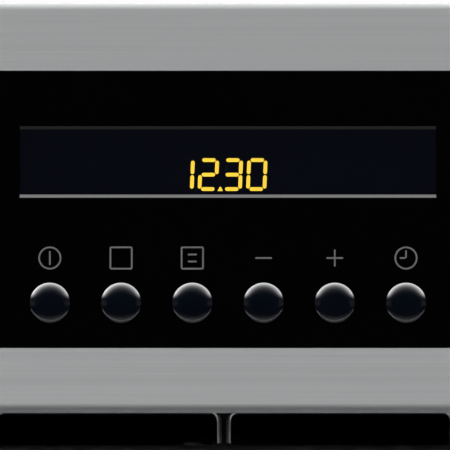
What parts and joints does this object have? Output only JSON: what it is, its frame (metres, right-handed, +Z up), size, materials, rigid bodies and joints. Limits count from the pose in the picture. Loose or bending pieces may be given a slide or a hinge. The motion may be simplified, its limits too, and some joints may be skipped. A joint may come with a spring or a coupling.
{
  "type": "built-in oven",
  "caption": "Built-in oven with a steel and black glass control panel, lit display, domed push buttons, cooling vent, drop-down glazed door, fan, heaters, wire shelf and tray.",
  "frame": {"origin": "middle of the front lower edge of the base, at the cabinet's front plane", "axes": "+X across the front to the right, +Y from the front to the back, +Z up"},
  "size_m": [0.594, 0.618, 0.597],
  "materials": {
    "steel_front": "brushed lengthways",
    "steel_handle": "fine brushed",
    "glass_black": "glossy, backed with black",
    "lens_smoke": "glossy smoked",
    "door_tint": "glossy tinted",
    "glass_clear": "glossy clear",
    "button_black": "polished",
    "plastic_black": "fine grain",
    "board_green": "satin lacquer",
    "zinc_sheet": "spangled zinc",
    "enamel_grey": "glossy speckled enamel",
    "heater_steel": "dark annealed",
    "wire_chrome": "bright",
    "fan_alloy": "satin",
    "hinge_steel": "zinc plated",
    "motor_steel": "dull laminated",
    "seal_grey": "woven sleeve",
    "wool_yellow": "matted fibre",
    "body_white": "plain moulded"
  },
  "bodies": {
    "oven": {"air_duct": "zinc_sheet", "baking_tray": "enamel_grey", "base_pan": "zinc_sheet", "blower_housing": "zinc_sheet", "blower_motor": "motor_steel", "bottom_element": "heater_steel", "bottom_trim": "steel_front", "cavity": "enamel_grey", "control_board": "board_green", "control_housing": "plastic_black", "deck_plate": "zinc_sheet", "display_lens": "lens_smoke", "display_module": "plastic_black", "door_seal": "seal_grey", "fan_cover": "enamel_grey", "fan_motor": "motor_steel", "fascia_carrier": "plastic_black", "fascia_frame": "steel_front", "fascia_glass": "glass_black", "front_frame": "enamel_grey", "grill_element": "heater_steel", "hinge_arms": "hinge_steel", "hinge_receivers": "zinc_sheet", "insulation": "wool_yellow", "lamp_bulb": "glass_clear", "lamp_glass": "glass_clear", "lamp_holder": "body_white", "panel_brackets": "zinc_sheet", "power_board": "board_green", "rear_panel": "zinc_sheet", "ring_element": "heater_steel", "shelf_rails": "wire_chrome", "side_panel_left": "zinc_sheet", "side_panel_right": "zinc_sheet", "tact_switches": "plastic_black", "temperature_probe": "heater_steel", "terminal_block": "body_white", "top_cover": "zinc_sheet", "vent_grille": "plastic_black", "wire_shelf": "wire_chrome"},
    "door": {"door_glass": "door_tint", "door_top_rail": "steel_front", "door_bottom_rail": "steel_front", "door_profiles": "fan_alloy", "door_middle_glass": "glass_clear", "door_inner_glass": "glass_clear", "door_cap": "plastic_black", "handle_bar": "steel_handle", "handle_posts": "steel_handle", "hinge_brackets": "hinge_steel", "hinge_pins": "hinge_steel"},
    "fan_rotor": {"convection_fan": "fan_alloy", "fan_shaft": "hinge_steel"},
    "blower_rotor": {"blower_wheel": "fan_alloy"},
    "button_power": {"button_power": "button_black"},
    "button_function": {"button_function": "button_black"},
    "button_heat": {"button_heat": "button_black"},
    "button_minus": {"button_minus": "button_black"},
    "button_plus": {"button_plus": "button_black"},
    "button_clock": {"button_clock": "button_black"}
  },
  "joints": [
    {"name": "door_hinge", "type": "hinge", "parent": "oven", "child": "door", "pos_m": [0, -0.009, 0.031], "axis": [1, 0, 0], "range_deg": [0, 90], "stiffness_Nm_per_rad": 8, "springref_deg": -28.65},
    {"name": "fan_spin", "type": "hinge", "parent": "oven", "child": "fan_rotor", "pos_m": [0, 0.43, 0.231], "axis": [0, 1, 0], "continuous": true},
    {"name": "blower_spin", "type": "hinge", "parent": "oven", "child": "blower_rotor", "pos_m": [0.033, 0.262, 0.48], "axis": [0, 0, 1], "continuous": true},
    {"name": "press_power", "type": "slide", "parent": "oven", "child": "button_power", "axis": [0, 1, 0], "range_m": [0, 0.0015], "stiffness_N_per_m": 600, "springref_m": -0.001},
    {"name": "press_function", "type": "slide", "parent": "oven", "child": "button_function", "axis": [0, 1, 0], "range_m": [0, 0.0015], "stiffness_N_per_m": 600, "springref_m": -0.001},
    {"name": "press_heat", "type": "slide", "parent": "oven", "child": "button_heat", "axis": [0, 1, 0], "range_m": [0, 0.0015], "stiffness_N_per_m": 600, "springref_m": -0.001},
    {"name": "press_minus", "type": "slide", "parent": "oven", "child": "button_minus", "axis": [0, 1, 0], "range_m": [0, 0.0015], "stiffness_N_per_m": 600, "springref_m": -0.001},
    {"name": "press_plus", "type": "slide", "parent": "oven", "child": "button_plus", "axis": [0, 1, 0], "range_m": [0, 0.0015], "stiffness_N_per_m": 600, "springref_m": -0.001},
    {"name": "press_clock", "type": "slide", "parent": "oven", "child": "button_clock", "axis": [0, 1, 0], "range_m": [0, 0.0015], "stiffness_N_per_m": 600, "springref_m": -0.001}
  ]
}
